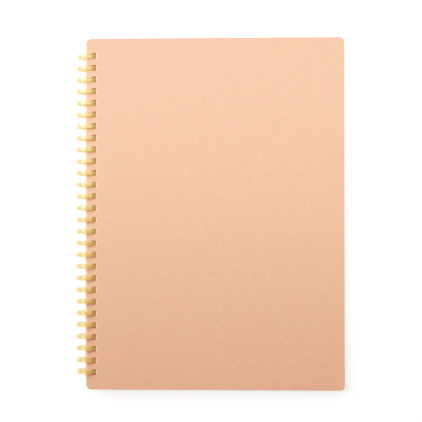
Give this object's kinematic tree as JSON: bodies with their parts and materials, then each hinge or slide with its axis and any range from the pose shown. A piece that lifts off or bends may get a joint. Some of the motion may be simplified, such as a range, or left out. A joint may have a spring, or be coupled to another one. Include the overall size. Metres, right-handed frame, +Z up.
{
  "type": "ring-bound sketchbook",
  "caption": "Closed ring-bound sketchbook: card covers and a block of punched drawing sheets held on a translucent plastic comb of wide, flat rings.",
  "frame": {"origin": "middle of the closed book's footprint, on the table it lies on", "axes": "+Z up out of the front cover, +Y along the ring comb towards the head of the book, +X from the rings across the cover to the fore edge"},
  "size_m": [0.1941, 0.254, 0.0152],
  "materials": {
    "front_card": "matte uncoated card, peach through and through, fine felt grain",
    "back_card": "matte uncoated board, the same peach, slightly coarser",
    "drawing_paper": "warm white cartridge paper, matte, light tooth",
    "ring_plastic": "honey-yellow translucent plastic, glossy"
  },
  "bodies": {
    "base": {"ring_spine": "ring_plastic", "rings": "ring_plastic", "back_cover": "back_card"},
    "lower_block": {"sheet_27": "drawing_paper", "sheet_28": "drawing_paper", "sheet_29": "drawing_paper", "sheet_30": "drawing_paper", "sheet_31": "drawing_paper", "sheet_32": "drawing_paper", "sheet_33": "drawing_paper", "sheet_34": "drawing_paper", "sheet_35": "drawing_paper", "sheet_36": "drawing_paper", "sheet_37": "drawing_paper", "sheet_38": "drawing_paper", "sheet_39": "drawing_paper", "sheet_40": "drawing_paper"},
    "middle_block": {"sheet_14": "drawing_paper", "sheet_15": "drawing_paper", "sheet_16": "drawing_paper", "sheet_17": "drawing_paper", "sheet_18": "drawing_paper", "sheet_19": "drawing_paper", "sheet_20": "drawing_paper", "sheet_21": "drawing_paper", "sheet_22": "drawing_paper", "sheet_23": "drawing_paper", "sheet_24": "drawing_paper", "sheet_25": "drawing_paper", "sheet_26": "drawing_paper"},
    "upper_block": {"sheet_03": "drawing_paper", "sheet_04": "drawing_paper", "sheet_05": "drawing_paper", "sheet_06": "drawing_paper", "sheet_07": "drawing_paper", "sheet_08": "drawing_paper", "sheet_09": "drawing_paper", "sheet_10": "drawing_paper", "sheet_11": "drawing_paper", "sheet_12": "drawing_paper", "sheet_13": "drawing_paper"},
    "second_sheet": {"sheet_02": "drawing_paper"},
    "first_sheet": {"sheet_01": "drawing_paper"},
    "cover": {"front_cover": "front_card"}
  },
  "joints": [
    {"name": "lower_block_turn", "type": "hinge", "parent": "base", "child": "lower_block", "pos_m": [-0.08945, 0, 0.0076], "axis": [0, -1, 0], "range_deg": [0, 181.6]},
    {"name": "middle_block_turn", "type": "hinge", "parent": "lower_block", "child": "middle_block", "pos_m": [-0.08945, 0, 0.0076], "axis": [0, -1, 0], "range_deg": [0, 180]},
    {"name": "upper_block_turn", "type": "hinge", "parent": "middle_block", "child": "upper_block", "pos_m": [-0.08945, 0, 0.0076], "axis": [0, -1, 0], "range_deg": [0, 180]},
    {"name": "second_sheet_turn", "type": "hinge", "parent": "upper_block", "child": "second_sheet", "pos_m": [-0.08945, 0, 0.0076], "axis": [0, -1, 0], "range_deg": [0, 180]},
    {"name": "first_sheet_turn", "type": "hinge", "parent": "second_sheet", "child": "first_sheet", "pos_m": [-0.08945, 0, 0.0076], "axis": [0, -1, 0], "range_deg": [0, 180]},
    {"name": "cover_turn", "type": "hinge", "parent": "first_sheet", "child": "cover", "pos_m": [-0.08945, 0, 0.0076], "axis": [0, -1, 0], "range_deg": [0, 181.6]}
  ]
}
